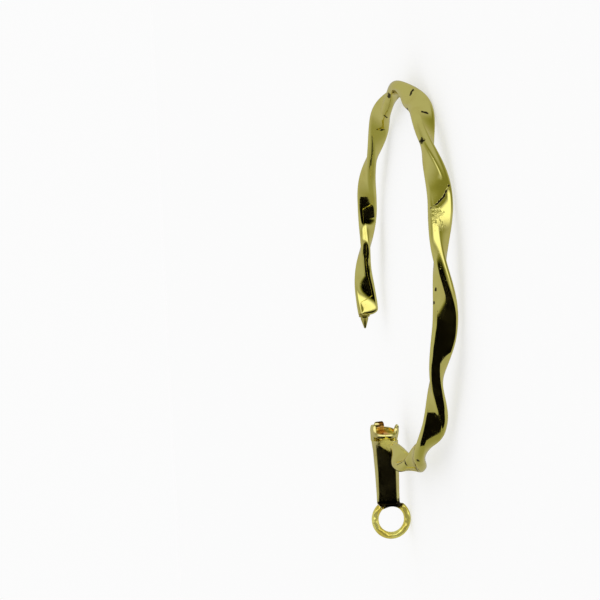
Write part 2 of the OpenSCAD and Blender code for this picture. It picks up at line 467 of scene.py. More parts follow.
@dataclass
class TwistedBand:
    """The hoop: a flat bar with rounded edges, twisted and bent round."""

    route: HoopRoute
    width: float = 1.9
    thick: float = 0.96
    edge_r: float = 0.42
    edge_steps: int = 6
    flare_w: float = 0.25
    flare_arc: float = 20.0
    flare_cuts: int = 35
    run_cuts: tuple[int, int] = (99, 5)
    margin: float = 0.01
    end_round: float = 0.55
    tongue_w: float = 0.48
    tongue_t: float = 0.14
    tongue_shift: float = 0.5
    tongue_steps: int = 6
    tongue_ease: float = 1.6
    blunt: float = 0.95
    spare: float = 1.2
    guide_step: float = 0.5
    stem_corner: Span = (-3.0, -12.0)
    seat_x: float = -6.97543
    seat_margin: float = 0.02
    splay_from: float = -0.45
    splay: Triple = (0.0, 0.26, 0.34)
    splay_reach: float = 1.5
    swell_at: Triple = (-14.61, 3.25, 0.31)
    swell_top: float = 0.3
    swell: Triple = (0.5, 0.0, 0.0)
    swell_reach: float = 2.4
    sharp_angle: float = 50.0

    def tongue_at(self, along: float) -> float:
        """Find how much of the tongue's narrowing has come, round at first and then blunt.

        Args:
            along: The length from the open end.

        Returns:
            The share, 1 at the end and 0 from end_round on.
        """
        near = max(0.0, 1 - along / self.end_round)
        full = 1 - math.sqrt(1 - self.blunt ** 2)
        return (1 - math.sqrt(1 - (self.blunt * near) ** 2)) / full

    def width_at(self, along: float) -> float:
        """Return the width of the bar, without the tongue, at a length from the open end."""
        flare = self.route.arc(self.flare_arc)
        return self.width + self.flare_w * max(0.0, 1 - along / flare)

    def bar(self) -> Piece:
        """Make the straight bar along X, from its flared and rounded open end.

        Returns:
            The bar, with rings of faces close enough to twist and bend.
        """
        length = self.route.length() + self.spare
        flare = self.route.arc(self.flare_arc)
        piece = Bench.block(
            "twisted_band_bar",
            (flare, -self.width / 2, -self.thick / 2),
            (length, self.width / 2, self.thick / 2))
        Bench.edit(piece)
        Bench.pick(piece, Part.FACE, lambda face: face.normal.x < -LOOKS_ALONG)
        Bench.extrude((self.end_round - flare, 0.0, 0.0))
        bpy.ops.transform.resize(
            value=(1.0, self.width_at(self.end_round) / self.width, 1.0),
            center_override=(self.end_round, 0.0, 0.0))
        Bench.pick(piece, Part.EDGE, lambda edge: Bench.runs_along(edge, 0))
        bpy.ops.mesh.bevel(
            offset=self.edge_r, segments=self.edge_steps, affect="EDGES", clamp_overlap=True)
        stretches = [(flare - self.margin, length + self.margin, cuts) for cuts in self.run_cuts]
        stretches.append((0.0, flare + self.margin, self.flare_cuts))
        for low, high, cuts in stretches:
            Bench.pick(
                piece, Part.EDGE,
                lambda edge: Bench.runs_along(edge, 0)
                and all(low < end.co.x < high for end in edge.verts))
            bpy.ops.mesh.subdivide(number_cuts=cuts)
        self.draw_tongue(piece)
        Bench.close(piece)
        return piece

    def draw_tongue(self, piece: Piece) -> None:
        """Draw the open end out to its narrow rounded tongue.

        Args:
            piece: The bar, open in edit mode.
        """
        Bench.pick(piece, Part.FACE, lambda face: face.normal.x < -LOOKS_ALONG)
        along, shift = self.end_round, 0.0
        wide, thick = self.width_at(along), self.thick
        for step in range(1, self.tongue_steps + 1):
            left = self.end_round * (1 - step / self.tongue_steps) ** self.tongue_ease
            share = self.tongue_at(left)
            next_wide = self.width_at(left) - 2 * self.tongue_w * share
            next_thick = self.thick - 2 * self.tongue_t * share
            next_shift = self.tongue_shift * share
            Bench.extrude((left - along, next_shift - shift, 0.0))
            bpy.ops.transform.resize(
                value=(1.0, next_wide / wide, next_thick / thick),
                center_override=(left, next_shift, 0.0))
            along, shift, wide, thick = left, next_shift, next_wide, next_thick

    def guide(self) -> Piece:
        """Make the curve that bends and twists the bar.

        Returns:
            A curve object whose tilt carries the twist.
        """
        data = bpy.data.curves.new("band_route", "CURVE")
        data.dimensions = "3D"
        data.twist_mode = "Z_UP"
        angles = self.route.angles(self.guide_step)
        spline = data.splines.new("POLY")
        spline.points.add(len(angles) - 1)
        for point, angle in zip(spline.points, angles):
            point.co = (*self.route.middle_at(angle), 1.0)
            point.tilt = math.radians(self.route.turn_at(angle))
        curve = bpy.data.objects.new("band_route", data)
        bpy.context.scene.collection.objects.link(curve)
        return curve

    def build(self, finish: bpy.types.Material) -> None:
        """Bend the bar round, cut and splay its joined end, raise its swell and hand it over.

        Args:
            finish: Its material.
        """
        piece = self.bar()
        curve = self.guide()
        Bench.apply(piece, "CURVE", object=curve, deform_axis="POS_X")
        bpy.data.objects.remove(curve, do_unlink=True)
        Bench.edit(piece)
        Bench.pick(piece, Part.FACE, lambda face: self.by_the_stem(face.calc_center_median()))
        bpy.ops.mesh.bisect(
            plane_co=(self.seat_x, 0.0, 0.0), plane_no=(1.0, 0.0, 0.0),
            use_fill=True, clear_inner=True)
        Bench.pick(piece, Part.VERT, lambda corner: self.on_the_seat(corner.co))
        Bench.pull(self.splay, self.splay_reach)
        top = Vector(self.swell_at)
        Bench.pick(piece, Part.VERT, lambda corner: (corner.co - top).length < self.swell_top)
        Bench.pull(self.swell, self.swell_reach)
        Bench.close(piece)
        Bench.smooth(piece, self.sharp_angle)
        piece.name = "band_of_gold"
        hand_over(piece, finish, NodeName.BAND)

    def by_the_stem(self, place: Vector) -> bool:
        """Say whether a place lies close to the joined end."""
        return place.x < self.stem_corner[0] and place.y < self.stem_corner[1]

    def on_the_seat(self, place: Vector) -> bool:
        """Say whether a place lies on the left side of the joined end's seat."""
        left = place.x < self.seat_x + self.seat_margin and place.z > self.splay_from
        return left and place.y < self.stem_corner[1]


@dataclass
class EndPeg:
    """The blunt peg with its domed collar at the open end."""

    route: HoopRoute
    collar_r: float = 0.56
    collar_h: float = 0.22
    collar_steps: int = 8
    fillet_r: float = 0.03
    fillet_low: float = 0.01
    fillet_high: float = 0.05
    peg_r: float = 0.38
    length: float = 1.4
    tip_r: float = 0.12
    tip_steps: int = 5
    shift: float = 0.5
    seam: float = 0.02
    sides: int = 48
    sharp_angle: float = 40.0

    def outline(self) -> list[Span]:
        """Work out the collar, the fillet above it, the cone and the tip.

        Returns:
            Radius and height of each row.
        """
        bend = self.collar_h / 2
        rows = [(self.collar_r - bend, 0.0)]
        for step in range(1, self.collar_steps + 1):
            turned = math.pi * step / self.collar_steps
            rows.append((self.collar_r - bend * (1 - math.sin(turned)),
                         bend * (1 - math.cos(turned))))
        rows += [
            (self.peg_r + self.fillet_r, self.collar_h + self.fillet_low),
            (self.peg_r, self.collar_h + self.fillet_high),
            (self.peg_r, 2 * self.collar_h)]
        for step in range(self.tip_steps):
            turned = math.pi / 2 * step / self.tip_steps
            rows.append((self.tip_r * math.cos(turned),
                         self.length - self.tip_r * (1 - math.sin(turned))))
        return rows

    def build(self, finish: bpy.types.Material) -> None:
        """Turn the peg, set it on the open end and hand it over.

        Args:
            finish: Its material.
        """
        piece = Bench.turned("pointed_peg", self.outline(), self.sides)
        Bench.smooth(piece, self.sharp_angle)
        angle = self.route.open_angle
        root = self.route.middle_at(angle) + self.route.width_at(angle) * self.shift
        root -= self.route.forward_at(angle) * self.seam
        turn = Matrix.Rotation(math.radians(angle - 180.0), 4, "Z")
        turn = turn @ Matrix.Rotation(math.radians(90.0), 4, "X")
        Bench.place(piece, Matrix.Translation(root) @ turn)
        hand_over(piece, finish, NodeName.PEG)


@dataclass(frozen=True)
class Claw:
    """One claw of the cup: angle from the front, size, lean outward and backward, mm, degrees."""

    angle: float
    width: float
    reach: float
    root_r: float
    lean: float
    back: float = 0.0


@dataclass
class ClawCup:
    """The empty cup: base, core, rim with its seat, four claws and the gallery's bars.

    claw_shape gives shares of a claw's height, of its half depth inwards and outwards, and of
    its width. bar_shape gives shares of a gallery bar's half thickness and of its length.
    """

    at: Triple = (-7.77543, -14.3557, 0.19)
    lean: float = 15.0
    rim_r: float = 1.22
    rim_wall: float = 0.2
    rim_taper: float = 0.1
    rim_h: float = 0.42
    seat_depth: float = 0.32
    core_r: float = 0.72
    base_r: float = 0.94
    base_h: float = 0.35
    gallery_h: float = 0.36
    soft: float = 0.05
    sides: int = 96
    bowl_sharp_angle: float = 40.0
    sharp_angle: float = 50.0
    claw_d: float = 0.34
    claw_edge_r: float = 0.07
    claw_edge_steps: int = 4
    claws: tuple[Claw, ...] = (
        Claw(-72.0, 0.70, 0.64, 1.06, 1.0, 24.0),
        Claw(58.0, 0.60, 0.44, 0.98, 16.0, 24.0),
        Claw(106.0, 0.40, 0.44, 0.98, 15.0),
        Claw(-168.0, 0.96, 0.46, 0.98, 15.0),
    )
    claw_shape: tuple[tuple[float, float, float, float], ...] = (
        (0.0, -1.0, 0.0, 0.92), (0.2, -1.0, 1.0, 1.0), (0.7, -1.0, 1.0, 1.0),
        (0.8, -1.0, 0.87, 0.99), (0.9, -0.88, 0.7, 0.94), (0.96, -0.67, 0.4, 0.85),
        (1.0, -0.3, 0.1, 0.7),
    )
    bar_d: float = 0.2
    bar_sides: int = 20
    bar_spread: float = 20.0
    bar_angles: Triple = (82.0, 150.0, -118.0)
    bar_shape: tuple[Span, ...] = (
        (1.15, 0.0), (1.15, 0.12), (0.95, 0.3), (0.95, 0.7), (1.15, 0.88), (1.15, 1.0))

    @property
    def gallery_z(self) -> float:
        """Return the height of the gallery's floor below the rim's middle."""
        return -self.rim_h / 2 - self.gallery_h

    def matrix(self) -> Matrix:
        """Map the cup's own axes, with Z up through the rim, to the standing hoop's.

        Returns:
            The map.
        """
        leaned = Matrix.Rotation(math.radians(-self.lean), 4, "Z")
        leaned = leaned @ Matrix.Rotation(math.radians(-90.0), 4, "X")
        return Matrix.Translation(self.at) @ leaned

    def bowl(self) -> Piece:
        """Turn the base, the core and the rim with its seat as one piece.

        Returns:
            The bowl, on the cup's own axes.
        """
        low = self.gallery_z - self.base_h
        top = self.rim_h / 2
        bore = self.rim_r - self.rim_wall
        floor = top - self.seat_depth
        lip = self.rim_r - self.rim_taper
        soft = self.soft
        rows = [
            (self.base_r - 2 * soft, low), (self.base_r - soft, low + soft / 3),
            (self.base_r, low + soft), (self.base_r, self.gallery_z - soft),
            (self.base_r - soft / 3, self.gallery_z - soft / 3),
            (self.base_r - soft, self.gallery_z),
            (self.core_r + soft, self.gallery_z), (self.core_r, self.gallery_z + soft),
            (self.core_r, -top - soft), (self.core_r + soft, -top),
            (self.rim_r - soft, -top), (self.rim_r - soft / 3, -top + soft / 3),
            (self.rim_r, -top + soft), (self.rim_r, 0.0),
            (lip, top - soft), (lip - soft / 3, top - soft / 3), (lip - soft, top),
            (bore + soft, top), (bore + soft / 3, top - soft / 3), (bore, top - soft),
            (bore, floor + 2 * soft), (bore - soft / 2, floor + soft / 2),
            (bore - 2 * soft, floor), (bore / 2, floor - soft / 2), (bore / 8, floor - soft),
        ]
        piece = Bench.turned("cup_bowl", rows, self.sides)
        Bench.smooth(piece, self.bowl_sharp_angle)
        return piece

    def claw(self, name: str, claw: Claw) -> Piece:
        """Draw one claw out of a block and stand it at its place on the cup.

        Args:
            name: The object's name.
            claw: Its angle, size and lean.

        Returns:
            The claw, on the cup's own axes.
        """
        half = self.claw_d / 2
        height = self.claw_d + self.gallery_h + self.rim_h + claw.reach
        rows = [
            Row(up * height, (inner + outer) * half / 2, 0.0,
                (outer - inner) * half, claw.width * wide)
            for up, inner, outer, wide in self.claw_shape
        ]
        piece = Bench.drawn(name, rows, self.claw_edge_r, self.claw_edge_steps)
        Bench.smooth(piece, self.sharp_angle)
        round_cup = Matrix.Rotation(math.radians(claw.angle), 4, "Z")
        root = round_cup @ Vector((claw.root_r, 0.0, self.gallery_z - self.claw_d))
        turn = Matrix.Rotation(math.radians(-claw.back), 4, "Y") @ round_cup
        turn = Matrix.Translation(root) @ turn
        Bench.place(piece, turn @ Matrix.Rotation(math.radians(claw.lean), 4, "Y"))
        return piece

    def bar(self, name: str, base_angle: float, rim_angle: float) -> Piece:
        """Draw one gallery bar from the base to under the rim, thicker at both ends.

        Args:
            name: The object's name.
            base_angle: Where it meets the base, in degrees.
            rim_angle: Where it meets the rim.

        Returns:
            The bar, on the cup's own axes.
        """
        half = self.bar_d / 2
        ends = []
        for radius, angle, height in (
            (self.base_r - half, base_angle, self.gallery_z - half),
            (self.rim_r - half, rim_angle, -self.rim_h / 2 + half),
        ):
            turned = math.radians(angle)
            ends.append(Vector((radius * math.cos(turned), radius * math.sin(turned), height)))
        way = ends[1] - ends[0]
        rows = [(half * thick, along * way.length) for thick, along in self.bar_shape]
        piece = Bench.turned(name, rows, self.bar_sides)
        Bench.smooth(piece, self.sharp_angle)
        turn = way.to_track_quat("Z", "Y").to_matrix().to_4x4()
        Bench.place(piece, Matrix.Translation(ends[0]) @ turn)
        return piece

    def build(self, finish: bpy.types.Material) -> None:
        """Build the bowl, the claws and the gallery and hand them over.

        Args:
            finish: Their material.
        """
        pieces = [self.bowl()]
        for number, claw in enumerate(self.claws, 1):
            pieces.append(self.claw(f"claw_{number}", claw))
        bars = []
        for number, angle in enumerate(self.bar_angles, 1):
            for hand, side in (("right", -1), ("left", 1)):
                bars.append(self.bar(
                    f"gallery_bar_{number}_{hand}", angle, angle + side * self.bar_spread))
        pieces.append(Bench.join("gallery_bars", bars))
        for piece in pieces:
            Bench.place(piece, self.matrix())
            hand_over(piece, finish, NodeName.SETTING)


@dataclass
class TaperedStem:
    """The flat tapering stem and the foot that runs into the ring.

    sections gives the stem's rows: how far down, how far aside, how wide and how deep.
    """

    stem_x: float = -7.67543
    top_y: float = -15.7757
    ring_z: float = -0.23
    ring_down: float = 6.67
    ring_outer_r: float = 1.86
    ring_hole_r: float = 1.21
    ring_wire: float = 0.68
    drill_sides: int = 128
    drill_depth: float = 3.0
    foot_arc: float = 80.0
    foot_deep: float = 0.86
    foot_steps: int = 4
    edge_r: float = 0.58
    edge_steps: int = 8
    edge_fullness: float = 0.36
    hem_r: float = 0.04
    hem_steps: int = 3
    hem_angle: float = 50.0
    sharp_angle: float = 40.0
    sections: tuple[tuple[float, float, float, float], ...] = (
        (-0.70, 0.19, 2.50, 1.36),
        (0.20, 0.12, 2.38, 1.36),
        (2.20, 0.05, 2.26, 1.26),
        (4.10, 0.02, 2.14, 1.10),
        (5.05, 0.00, 2.14, 0.96),
    )

    def matrix(self) -> Matrix:
        """Return the map from the stem's own axes, Z down the stem, to the standing hoop's."""
        columns = Matrix(((0.0, -1.0, 0.0), (0.0, 0.0, -1.0), (1.0, 0.0, 0.0))).to_4x4()
        return Matrix.Translation((self.stem_x, self.top_y, 0.0)) @ columns

    @staticmethod
    def swept(share: float, start: float, knee: float, stop: float) -> float:
        """Return a value on the curve that leaves start towards knee and ends at stop."""
        return start * (1 - share) ** 2 + knee * 2 * share * (1 - share) + stop * share ** 2

    def foot_rows(self) -> list[Row]:
        """Sweep the stem's two edges out to the ring's outside, and end below the ring's hole.

        Returns:
            The rows of the foot.
        """
        down, side, wide, deep = self.sections[-1]
        half_arc = math.radians(self.foot_arc / 2)
        out, low = self.ring_outer_r, self.ring_hole_r
        rows = []
        for step in range(1, self.foot_steps + 1):
            share = step / self.foot_steps
            edges = []
            for hand in (-1, 1):
                start = side + hand * wide / 2
                stop = self.ring_z + hand * out * math.sin(half_arc)
                edges.append(self.swept(share, start, start, stop))
            end_up = out * math.cos(half_arc)
            up = self.swept(share, self.ring_down - down, end_up, end_up)
            rows.append(Row(self.ring_down - up, sum(edges) / 2, 0.0, edges[1] - edges[0],
                            deep + (self.foot_deep - deep) * share))
        rows.append(Row(self.ring_down - low * math.cos(half_arc), self.ring_z, 0.0,
                        2 * low * math.sin(half_arc), self.ring_wire))
        return rows

    def drill(self, piece: Piece) -> None:
        """Cut the ring's hole out of the foot.

        Args:
            piece: The stem with its foot.
        """
        Bench.clear()
        bpy.ops.mesh.primitive_cylinder_add(
            vertices=self.drill_sides, radius=self.ring_hole_r, depth=self.drill_depth,
            location=(self.stem_x, self.top_y - self.ring_down, self.ring_z),
            rotation=(0.0, math.radians(90.0), 0.0))
        drill = Bench.blank("ring_drill")
        Bench.apply(piece, "BOOLEAN", object=drill, operation="DIFFERENCE", solver="EXACT")
        bpy.data.objects.remove(drill, do_unlink=True)
        Bench.edit(piece)
        Bench.close(piece)

    def build(self, finish: bpy.types.Material) -> None:
        """Build the stem with its foot and hand it over.

        Args:
            finish: Its material.
        """
        rows = [Row(down, side, 0.0, wide, deep) for down, side, wide, deep in self.sections]
        piece = Bench.drawn("stem_and_foot", rows + self.foot_rows(), self.edge_r,
                            self.edge_steps, self.edge_fullness)
        Bench.place(piece, self.matrix())
        self.drill(piece)
        Bench.apply(piece, "BEVEL", width=self.hem_r, segments=self.hem_steps,
                    limit_method="ANGLE", angle_limit=math.radians(self.hem_angle))
        Bench.smooth(piece, self.sharp_angle)
        hand_over(piece, finish, NodeName.SETTING)


@dataclass
class CharmRing:
    """The round-wire ring below the foot, open where the foot takes its place."""

    at: Triple = (-7.67543, -22.4457, -0.23)
    mid_r: float = 1.535
    wire_r: float = 0.325
    foot_arc: float = 80.0
    seam: float = 0.02
    turns: int = 128
    sides: int = 40
    sharp_angle: float = 40.0

    def build(self, finish: bpy.types.Material) -> None:
        """Cut the foot's arc out of a round of wire and hand the ring over.

        Args:
            finish: Its material.
        """
        Bench.clear()
        bpy.ops.mesh.primitive_torus_add(
            major_radius=self.mid_r, minor_radius=self.wire_r,
            major_segments=self.turns, minor_segments=self.sides)
        piece = Bench.blank("round_wire_ring")
        half = math.radians(self.foot_arc / 2)
        drop = self.seam / math.sin(half)
        Bench.edit(piece)
        for hand in (-1, 1):
            Bench.pick(
                piece, Part.FACE, lambda face: face.calc_center_median().x * hand > 0
                and face.calc_center_median().y > 0)
            bpy.ops.mesh.bisect(
                plane_co=(0.0, -drop, 0.0),
                plane_no=(hand * math.cos(half), -math.sin(half), 0.0),
                use_fill=True, clear_inner=True)
        Bench.close(piece)
        Bench.smooth(piece, self.sharp_angle)
        turn = Matrix.Rotation(math.radians(-90.0), 4, "Y")
        Bench.place(piece, Matrix.Translation(self.at) @ turn)
        hand_over(piece, finish, NodeName.RING)


class Graph:
    """A node tree that is being wired up."""

    def __init__(self, tree: bpy.types.NodeTree) -> None:
        """Keep the tree that nodes are added to."""
        self.tree = tree

    @staticmethod
    def of_material(name: str) -> tuple[bpy.types.Material, "Graph"]:
        """Start an empty material.

        Args:
            name: The material's name.

        Returns:
            The material and its graph.
        """
        material = bpy.data.materials.new(name)
        material.use_nodes = True
        material.node_tree.nodes.clear()
        return material, Graph(material.node_tree)

    def add(
        self, kind: str, feeds: Mapping[str | int, object] | None = None, **settings: object
    ) -> bpy.types.Node:
        """Add a node, set its properties and feed its inputs.

        Args:
            kind: The node's type.
            feeds: An output socket, a number or a tuple for each input, by name or number.
            **settings: The node's properties.

        Returns:
            The new node.
        """
        node = self.tree.nodes.new(kind)
        for key, value in settings.items():
            setattr(node, key, value)
        for key, value in (feeds or {}).items():
            self.feed(node.inputs[key], value)
        return node

    def feed(self, socket: Socket, value: object) -> None:
        """Link or set one input.

        Args:
            socket: The input.
            value: An output socket, a number or a tuple.
        """
        if isinstance(value, Socket):
            self.tree.links.new(value, socket)
        else:
            socket.default_value = value

    def math(self, operation: str, *values: object, clamp: bool = False) -> Socket:
        """Add a Math node, fed with the values in order, and return its output."""
        feeds = dict(enumerate(values))
        return self.add("ShaderNodeMath", feeds, operation=operation, use_clamp=clamp).outputs[0]

    def times(self, *values: object) -> Socket:
        """Return the product of two or more values."""
        return reduce(lambda result, value: self.math("MULTIPLY", result, value), values)

    def plus(self, *values: object) -> Socket:
        """Return the sum of two or more values."""
        return reduce(lambda result, value: self.math("ADD", result, value), values)

    def minus(self, *values: object) -> Socket:
        """Return the first value less all the others."""
        return reduce(lambda result, value: self.math("SUBTRACT", result, value), values)

    def largest(self, *values: object) -> Socket:
        """Return the largest of one or more values."""
        return reduce(lambda result, value: self.math("MAXIMUM", result, value), values)

    def vector(self, operation: str, *values: object) -> Mapping[str, Socket]:
        """Add a Vector Math node and return its outputs, Vector and Value."""
        return self.add("ShaderNodeVectorMath", dict(enumerate(values)), operation=operation).outputs

    def ramp(self, value: object, span: Span, to_low: object = 0.0, to_high: object = 1.0) -> Socket:
        """Add a smooth Map Range node.

        Args:
            value: The input.
            span: Where the ramp starts and where it ends.
            to_low: The result at the start.
            to_high: The result at the end.

        Returns:
            Its output.
        """
        feeds = {"Value": value, "From Min": span[0], "From Max": span[1],
                 "To Min": to_low, "To Max": to_high}
        node = self.add("ShaderNodeMapRange", feeds, interpolation_type="SMOOTHSTEP", clamp=True)
        return node.outputs["Result"]

    def fade(self, value: object, span: Span) -> Socket:
        """Return a ramp that falls from 1 at the start of the span to 0 at its end."""
        return self.ramp(value, span, 1.0, 0.0)

    def noise(self, place: object, waves: object, octaves: float) -> Socket:
        """Add a noise texture and return its value."""
        feeds = {"Vector": place, "Scale": waves, "Detail": octaves}
        return self.add("ShaderNodeTexNoise", feeds, noise_dimensions="3D").outputs[0]

    def blend(self, share: object, first: object, second: object) -> Socket:
        """Mix two colours.

        Args:
            share: Share of the second one.
            first: The first colour.
            second: The second colour.

        Returns:
            The mixed colour.
        """
        node = self.add("ShaderNodeMix", {0: share}, data_type="RGBA", blend_type="MIX")
        colours = [socket for socket in node.inputs if socket.type == "RGBA"]
        self.feed(colours[0], first)
        self.feed(colours[1], second)
        return [socket for socket in node.outputs if socket.type == "RGBA"][0]


class Effects:
    """The node groups that the finishes share.

    A noise is waves per mm and octaves, and a span is where a ramp on it starts and ends.
    """

    CLOUD_NOISE = (0.55, 3.0)
    CLOUD_SPAN = (0.42, 0.68)
    WAVE_OCTAVES = 0.5
    GRAIN_NOISE = (14.0, 2.0)
    PITS_PER_MM = 2.1
    PIT_SPAN = (0.05, 0.16)
    SPARSE_NOISE = (1.3, 1.0)
    SPARSE_SPAN = (0.5, 0.62)
    # Each run of hair scratches is a noise that is turned and stretched.
    HAIR_RUNS = (((0.4, 0.9, 0.2), (0.5, 17.0, 17.0)), ((1.9, 0.3, 1.1), (19.0, 0.6, 19.0)))
    HAIR_NOISE = (0.35, 2.0)
    HAIR_SPAN = (0.67, 0.74)
    GRAIN_ROUGH = 0.05
    CLOUD_ROUGH = 0.06
    HAIR_ROUGH = 0.12
    GRAIN_HEIGHT = 0.03
    HAIR_DEPTH = 0.35
    MARK_SPAN = (0.5, 1.0)

    def __init__(self) -> None:
        """Build each group once."""
        self.wear = self.build_wear()
        self.mark = self.build_mark()

    @staticmethod
    def new_group(
        name: str, inputs: Mapping[str, object], outputs: Sequence[str]
    ) -> tuple[Graph, Mapping[str, Socket], Mapping[str, Socket]]:
        """Start a shader node group.

        Args:
            name: The group's name.
            inputs: First value of each input by name, a tuple for a vector.
            outputs: Name of each output, all of them numbers.

        Returns:
            The graph, the sockets that bring the inputs and those that take the outputs.
        """
        tree = bpy.data.node_groups.new(name, "ShaderNodeTree")
        for label, value in inputs.items():
            kind = "NodeSocketVector" if isinstance(value, tuple) else "NodeSocketFloat"
            socket = tree.interface.new_socket(name=label, in_out="INPUT", socket_type=kind)
            socket.default_value = value
        for label in outputs:
            tree.interface.new_socket(name=label, in_out="OUTPUT", socket_type="NodeSocketFloat")
        graph = Graph(tree)
        return graph, graph.add("NodeGroupInput").outputs, graph.add("NodeGroupOutput").inputs

    def build_wear(self) -> bpy.types.NodeTree:
        """Build the wear of handled gold: clouds of tarnish, fine pits and hair scratches.

        Returns:
            The group, which puts out Tarnish, Rough and Height.
        """
        graph, given, result = self.new_group(
            "handled_gold",
            {"Place": (0.0, 0.0, 0.0), "Pits": 0.5, "Scratches": 0.5, "Waves": 0.5,
             "Wave Scale": 0.9},
            ("Tarnish", "Rough", "Height"))
        place = given["Place"]
        clouds = graph.ramp(graph.noise(place, *self.CLOUD_NOISE), self.CLOUD_SPAN)
        waves = graph.noise(place, given["Wave Scale"], self.WAVE_OCTAVES)
        grain = graph.noise(place, *self.GRAIN_NOISE)
        cells = graph.add(
            "ShaderNodeTexVoronoi", {"Vector": place, "Scale": self.PITS_PER_MM}, feature="F1")
        pits = graph.fade(cells.outputs["Distance"], self.PIT_SPAN)
        sparse = graph.ramp(graph.noise(place, *self.SPARSE_NOISE), self.SPARSE_SPAN)
        pits = graph.times(pits, sparse, given["Pits"])
        hairs = []
        for turn, stretch in self.HAIR_RUNS:
            run = graph.add("ShaderNodeMapping",
                            {"Vector": place, "Rotation": turn, "Scale": stretch},
                            vector_type="POINT").outputs[0]
            hairs.append(graph.ramp(graph.noise(run, *self.HAIR_NOISE), self.HAIR_SPAN))
        hair = graph.times(graph.largest(*hairs), given["Scratches"])
        rough = graph.plus(
            graph.times(grain, self.GRAIN_ROUGH), graph.times(clouds, self.CLOUD_ROUGH),
            graph.times(hair, self.HAIR_ROUGH))
        height = graph.minus(
            graph.times(grain, self.GRAIN_HEIGHT), pits, graph.times(hair, self.HAIR_DEPTH))
        height = graph.plus(height, graph.times(waves, given["Waves"]))
        graph.feed(result["Tarnish"], graph.largest(clouds, pits))
        graph.feed(result["Rough"], rough)
        graph.feed(result["Height"], height)
        return graph.tree

    def build_mark(self) -> bpy.types.NodeTree:
        """Build the mask of one stroke that runs from one point to another, which places dents,
        scratches, patches and painted reflections.

        Returns:
            The group, which puts out Mask.
        """
        graph, given, result = self.new_group(
            "dent_or_scratch",
            {"Place": (0.0, 0.0, 0.0), "From": (0.0, 0.0, 0.0), "To": (0.0, 0.0, 0.1),
             "Half Width": 0.1, "Ragged": 0.0},
            ("Mask",))
        away = graph.vector("SUBTRACT", given["Place"], given["From"])["Vector"]
        way = graph.vector("SUBTRACT", given["To"], given["From"])["Vector"]
        share = graph.math(
            "DIVIDE", graph.vector("DOT_PRODUCT", away, way)["Value"],
            graph.vector("DOT_PRODUCT", way, way)["Value"], clamp=True)
        foot = graph.add("ShaderNodeVectorMath", {0: way, "Scale": share}, operation="SCALE")
        off = graph.vector("SUBTRACT", away, foot.outputs["Vector"])["Vector"]
        near = graph.math("DIVIDE", graph.vector("LENGTH", off)["Value"], given["Half Width"])
        near = graph.plus(near, given["Ragged"])
        graph.feed(result["Mask"], graph.fade(near, self.MARK_SPAN))
        return graph.tree


@dataclass(frozen=True)
class Mark:
    """One stroke, in the frame's mm: its two ends, half width and strength. Each dent, scratch, patch
    and painted reflection has one.
    """

    start: Triple
    stop: Triple
    half: float
    strength: float = 1.0


@dataclass(frozen=True)
class PaintedReflection:
    """One painted reflection: where it lies and the colour of the reflection that it paints on the
    gold.
    """

    mark: Mark
    colour: Triple


@dataclass(frozen=True)
class Patch:
    """One patch of another surface: where it lies, its lumps and how much rougher it is."""

    mark: Mark
    lumps: float
    rough: float


BAND_MARKS: tuple[Mark, ...] = (
    Mark((1.10, 19.58, 1.80), (0.20, 19.45, 1.72), 0.22),
    Mark((7.36, 18.49, 1.28), (7.42, 18.76, 1.14), 0.20),
    Mark((10.68, 16.50, 1.15), (10.73, 16.38, 0.81), 0.18),
    Mark((-7.34, 17.61, 1.07), (-7.20, 17.63, 0.92), 0.17),
    Mark((-3.40, 18.38, 1.45), (-3.92, 18.27, 1.13), 0.12),
    Mark((7.58, 17.24, 1.70), (8.42, 17.11, 1.80), 0.14),
    Mark((13.25, 14.00, 1.95), (12.95, 13.90, 2.30), 0.34),
    Mark((15.81, 2.51, 1.93), (15.82, 2.44, 1.93), 0.14),
    Mark((15.68, 1.55, 2.10), (15.68, 1.47, 2.10), 0.13),
    Mark((7.94, -11.24, 2.29), (7.73, -11.35, 2.25), 0.17),
    Mark((3.30, -12.00, 2.42), (3.30, -12.20, 2.36), 0.18),
    Mark((0.85, -12.55, 2.69), (3.21, -11.83, 2.43), 0.06, 0.8),
    Mark((6.10, -11.98, 2.10), (4.66, -12.63, 1.48), 0.07, 0.8),
    Mark((-5.04, -11.34, 2.02), (-4.90, -11.34, 2.00), 0.10, 0.7),
    Mark((-8.05, 17.17, 1.84), (-9.16, 15.99, 1.60), 0.05, 0.7),
    Mark((-9.16, 15.99, 1.60), (-10.27, 14.69, 1.67), 0.05, 0.7),
    Mark((15.41, 10.26, 0.45), (15.64, 9.43, 0.93), 0.10),
    Mark((15.64, 9.43, 0.93), (15.74, 8.92, 1.44), 0.10),
    Mark((15.74, 8.92, 1.44), (15.80, 8.57, 2.01), 0.10),
)

BAND_PATCHES: tuple[Patch, ...] = (
    Patch(Mark((15.85, 8.1, 1.7), (15.85, 6.9, 1.7), 0.62), 1.1, 0.12),
    Patch(Mark((-6.9, -11.5, 2.40), (-4.3, -11.4, 2.15), 0.80), 0.0, 0.60),
)

# Painted reflections on the cast setting, laid into its colour: a salmon reflection inside the left of
# the cup, a dark brown reflection on the back-left claw, and a near-black reflection on the foot above
# the ring.
CAST_PAINTED_REFLECTIONS: tuple[PaintedReflection, ...] = (
    PaintedReflection(Mark((-8.75, -10.25, 2.25), (-7.50, -10.85, 1.95), 0.52), (0.98, 0.56, 0.2)),
    PaintedReflection(Mark((-8.85, -9.72, 2.35), (-8.85, -9.72, 1.80), 0.42), (0.14, 0.055, 0.004)),
    PaintedReflection(Mark((-7.30, -17.32, 2.85), (-7.30, -17.32, 1.10), 0.60), (0.03, 0.022, 0.014)),
)


